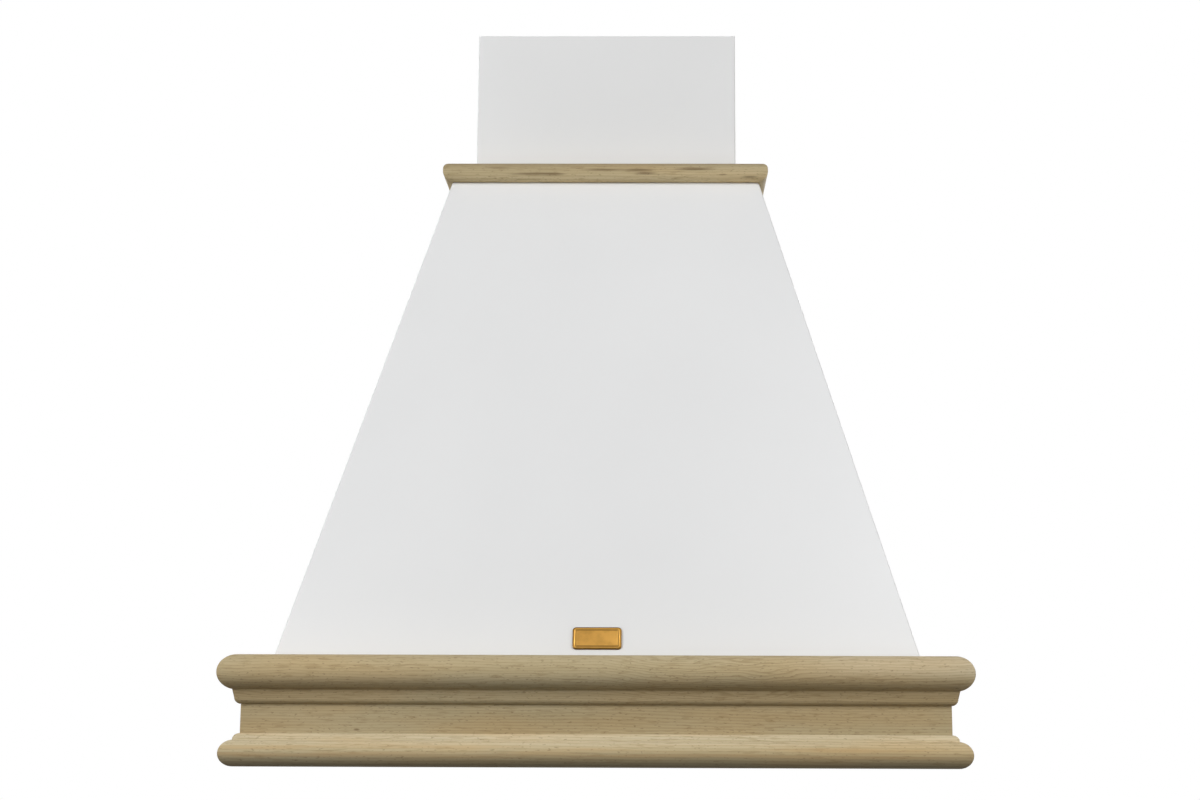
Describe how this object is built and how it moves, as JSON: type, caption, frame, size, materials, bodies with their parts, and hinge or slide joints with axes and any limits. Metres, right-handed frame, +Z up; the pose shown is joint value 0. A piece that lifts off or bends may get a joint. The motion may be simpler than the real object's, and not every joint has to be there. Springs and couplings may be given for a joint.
{
  "type": "range hood",
  "caption": "Wall-hung country range hood: white steel dome and sliding chimney, raw beech base moulding and collar, filters, lamps, blower and duct spigot.",
  "frame": {"origin": "on the wall plane, midway between the two wall holes, 330 mm above the lower edge", "axes": "+X to the right seen from the front, +Y into the wall, +Z up"},
  "size_m": [0.6, 0.5, 0.695],
  "materials": {
    "painted_steel": "white powder coat, satin",
    "beech": "raw sanded beech",
    "badge_brass": "satin",
    "pan_steel": "light grey powder coat",
    "galvanised": "galvanised",
    "spring_steel": "polished",
    "zinc_steel": "zinc plated",
    "yellow_zinc": "yellow zinc plated",
    "filter_aluminium": "satin",
    "filter_mesh": "expanded mesh",
    "flap_aluminium": "satin",
    "motor_metal": "cast and turned",
    "black_plastic": "fine texture",
    "button_plastic": "moulded",
    "terminal_plastic": "moulded",
    "capacitor_case": "moulded",
    "lamp_metal": "die cast",
    "lamp_bezel": "brushed",
    "lamp_lens": "frosted",
    "cable_sheath": "grey sheath"
  },
  "bodies": {
    "hood": {"dome_shell": "painted_steel", "back_panel": "galvanised", "base_front_rail": "beech", "base_left_rail": "beech", "base_right_rail": "beech", "collar_front_rail": "beech", "collar_left_rail": "beech", "collar_right_rail": "beech", "badge_plate": "badge_brass", "base_pan": "pan_steel", "left_hanging_plate": "galvanised", "right_hanging_plate": "galvanised", "left_chimney_guide": "galvanised", "right_chimney_guide": "galvanised", "scroll_left_half": "black_plastic", "scroll_right_half": "black_plastic", "outlet_adapter": "black_plastic", "flap_pin": "zinc_steel", "motor": "motor_metal", "motor_mount": "galvanised", "inlet_guard": "galvanised", "blower_bracket": "galvanised", "electrical_box": "black_plastic", "electrical_box_cover": "black_plastic", "terminal_block": "terminal_plastic", "run_capacitor": "capacitor_case", "cable_gland": "black_plastic", "control_plate": "black_plastic", "switch_block": "black_plastic", "left_lamp_housing": "lamp_metal", "left_lamp_bezel": "lamp_bezel", "left_lamp_lens": "lamp_lens", "right_lamp_housing": "lamp_metal", "right_lamp_bezel": "lamp_bezel", "right_lamp_lens": "lamp_lens", "left_keeper_spring": "spring_steel", "right_keeper_spring": "spring_steel", "rail_screws": "yellow_zinc", "collar_screws": "yellow_zinc", "sheet_screws": "zinc_steel", "wiring_loom": "cable_sheath"},
    "chimney": {"chimney_cover": "painted_steel", "chimney_bracket": "galvanised", "chimney_screws": "zinc_steel"},
    "rotor": {"impeller": "black_plastic", "motor_shaft": "zinc_steel"},
    "front_flap": {"front_damper_flap": "flap_aluminium"},
    "rear_flap": {"rear_damper_flap": "flap_aluminium"},
    "left_filter": {"left_filter_frame": "filter_aluminium", "left_filter_mesh": "filter_mesh"},
    "right_filter": {"right_filter_frame": "filter_aluminium", "right_filter_mesh": "filter_mesh"},
    "left_latch": {"left_filter_latch": "black_plastic"},
    "right_latch": {"right_filter_latch": "black_plastic"},
    "off_key": {"off_button": "button_plastic"},
    "speed_1_key": {"speed_1_button": "button_plastic"},
    "speed_2_key": {"speed_2_button": "button_plastic"},
    "speed_3_key": {"speed_3_button": "button_plastic"},
    "light_key": {"light_button": "button_plastic"}
  },
  "joints": [
    {"name": "chimney_slide", "type": "slide", "parent": "hood", "child": "chimney", "axis": [0, 0, 1], "range_m": [0, 0.2]},
    {"name": "impeller_spin", "type": "hinge", "parent": "hood", "child": "rotor", "pos_m": [0, -0.15375, -0.145], "axis": [1, 0, 0], "continuous": true},
    {"name": "front_flap_hinge", "type": "hinge", "parent": "hood", "child": "front_flap", "pos_m": [0, -0.12575, -0.02], "axis": [-1, 0, 0], "range_deg": [0, 70]},
    {"name": "rear_flap_hinge", "type": "hinge", "parent": "hood", "child": "rear_flap", "pos_m": [0, -0.12575, -0.02], "axis": [1, 0, 0], "range_deg": [0, 70]},
    {"name": "left_filter_hinge", "type": "hinge", "parent": "hood", "child": "left_filter", "pos_m": [-0.1235, -0.041, -0.313], "axis": [1, 0, 0], "range_deg": [0, 60], "deforming": ["left_keeper_spring"]},
    {"name": "right_filter_hinge", "type": "hinge", "parent": "hood", "child": "right_filter", "pos_m": [0.1235, -0.041, -0.313], "axis": [1, 0, 0], "range_deg": [0, 60], "deforming": ["right_keeper_spring"]},
    {"name": "left_latch_slide", "type": "slide", "parent": "left_filter", "child": "left_latch", "axis": [0, 1, 0], "range_m": [0, 0.006], "stiffness_N_per_m": 400, "springref_m": -0.004},
    {"name": "right_latch_slide", "type": "slide", "parent": "right_filter", "child": "right_latch", "axis": [0, 1, 0], "range_m": [0, 0.006], "stiffness_N_per_m": 400, "springref_m": -0.004},
    {"name": "off_press", "type": "slide", "parent": "hood", "child": "off_key", "axis": [0, 0, 1], "range_m": [0, 0.0035], "stiffness_N_per_m": 300, "springref_m": -0.003},
    {"name": "speed_1_press", "type": "slide", "parent": "hood", "child": "speed_1_key", "axis": [0, 0, 1], "range_m": [0, 0.0035], "stiffness_N_per_m": 300, "springref_m": -0.003},
    {"name": "speed_2_press", "type": "slide", "parent": "hood", "child": "speed_2_key", "axis": [0, 0, 1], "range_m": [0, 0.0035], "stiffness_N_per_m": 300, "springref_m": -0.003},
    {"name": "speed_3_press", "type": "slide", "parent": "hood", "child": "speed_3_key", "axis": [0, 0, 1], "range_m": [0, 0.0035], "stiffness_N_per_m": 300, "springref_m": -0.003},
    {"name": "light_press", "type": "slide", "parent": "hood", "child": "light_key", "axis": [0, 0, 1], "range_m": [0, 0.0035], "stiffness_N_per_m": 300, "springref_m": -0.003}
  ]
}
